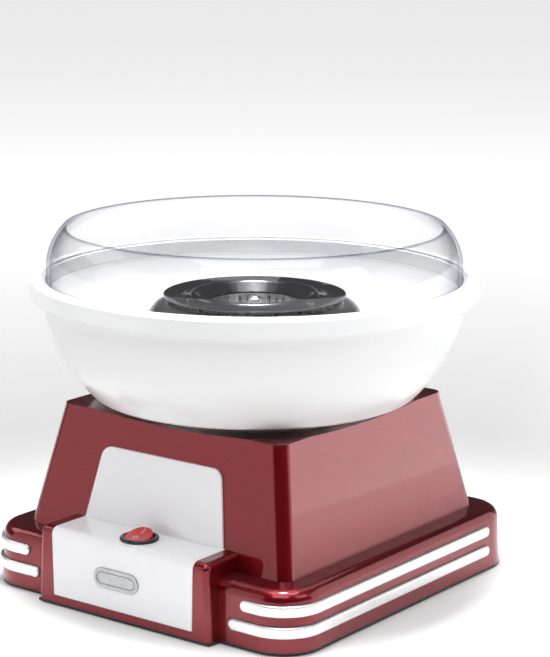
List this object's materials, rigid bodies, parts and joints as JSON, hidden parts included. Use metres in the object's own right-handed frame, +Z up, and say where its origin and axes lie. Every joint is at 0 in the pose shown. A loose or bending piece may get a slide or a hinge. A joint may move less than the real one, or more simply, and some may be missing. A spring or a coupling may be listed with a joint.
{
  "type": "cotton candy machine",
  "caption": "Table-top cotton candy machine: spinning sugar head and heater in a lift-off white bowl with clear guard, on a red square base with a rocker switch.",
  "frame": {"origin": "on the spindle axis at the level of the surface the rubber feet stand on", "axes": "+Z up along the spindle, +Y towards the rear wall with the cord inlet, +X to the right seen from the front"},
  "size_m": [0.2924, 0.2924, 0.2338],
  "materials": {
    "candy_red": "deep metallic red moulded plastic, gloss",
    "white_gloss": "white moulded plastic, gloss",
    "silver_trim": "satin silver plating on the trim strips and badge",
    "clear_guard": "clear moulded plastic",
    "black_gloss": "black heat-proof moulding, gloss",
    "black_matte": "black moulded plastic, satin",
    "rocker_red": "red moulded plastic",
    "head_black": "dark non-stick coating on spun aluminium",
    "aluminium": "bare spun or pressed aluminium",
    "steel": "bright steel",
    "laminations": "stacked steel sheet",
    "magnet": "ferrite",
    "copper": "enamelled copper",
    "brass": "turned brass or bronze",
    "ceramic": "white ceramic",
    "element_tube": "heat-stained steel tube",
    "carbon": "pressed carbon",
    "rubber": "moulded rubber",
    "cover_grey": "dark grey moulded plastic",
    "board_green": "glass-fibre circuit board",
    "terminal_green": "moulded terminal block",
    "lead_insulation": "silicone insulation",
    "grommet": "soft rubber bushes",
    "fan_grey": "moulded fan"
  },
  "bodies": {
    "base": {"badge_plate": "silver_trim", "base_tray": "candy_red", "board_screws": "steel", "bottom_cover": "cover_grey", "bracket_screws": "steel", "bridge_rectifier": "black_matte", "capacitor": "black_matte", "circuit_board": "board_green", "collar_screws": "steel", "cord_gland": "black_matte", "cover_screws": "steel", "element_supports": "ceramic", "element_terminals": "ceramic", "front_block": "candy_red", "front_fascia": "white_gloss", "heater_housing": "black_gloss", "heater_leads": "lead_insulation", "heating_element": "element_tube", "housing_screws": "steel", "motor_bearings": "brass", "motor_bracket": "steel", "motor_brushes": "carbon", "motor_can": "steel", "motor_end_cap": "black_matte", "motor_grommets": "grommet", "motor_leads": "lead_insulation", "motor_magnets": "magnet", "reflector_pan": "aluminium", "rubber_feet": "rubber", "switch_body": "black_gloss", "switch_lead": "lead_insulation", "switch_terminals": "brass", "terminal_block": "terminal_green", "thermal_cutout": "steel", "trim_strip_lower_left": "silver_trim", "trim_strip_lower_right": "silver_trim", "trim_strip_upper_left": "silver_trim", "trim_strip_upper_right": "silver_trim", "upper_housing": "candy_red"},
    "spindle": {"drive_shaft": "steel", "drive_pin": "steel", "armature_core": "laminations", "armature_windings": "copper", "commutator": "copper", "cooling_fan": "fan_grey"},
    "head": {"head_disc": "head_black", "sugar_cup": "aluminium", "melting_band": "steel", "head_screws": "steel", "head_hub": "aluminium", "hub_nut": "steel"},
    "bowl": {"bowl": "white_gloss"},
    "guard": {"splash_guard": "clear_guard"},
    "rocker": {"switch_rocker": "rocker_red"}
  },
  "joints": [
    {"name": "spindle_spin", "type": "hinge", "parent": "base", "child": "spindle", "pos_m": [0, 0, 0.12], "axis": [0, 0, 1], "continuous": true},
    {"name": "head_lift", "type": "slide", "parent": "spindle", "child": "head", "axis": [0, 0, 1], "range_m": [0, 0.08]},
    {"name": "bowl_lift", "type": "slide", "parent": "base", "child": "bowl", "axis": [0, 0, 1], "range_m": [0, 0.09]},
    {"name": "guard_lift", "type": "slide", "parent": "bowl", "child": "guard", "axis": [0, 0, 1], "range_m": [0, 0.05]},
    {"name": "rocker_press", "type": "hinge", "parent": "base", "child": "rocker", "pos_m": [0.002, -0.1193, 0.051], "axis": [-1, 0, 0], "range_deg": [0, 28]}
  ]
}
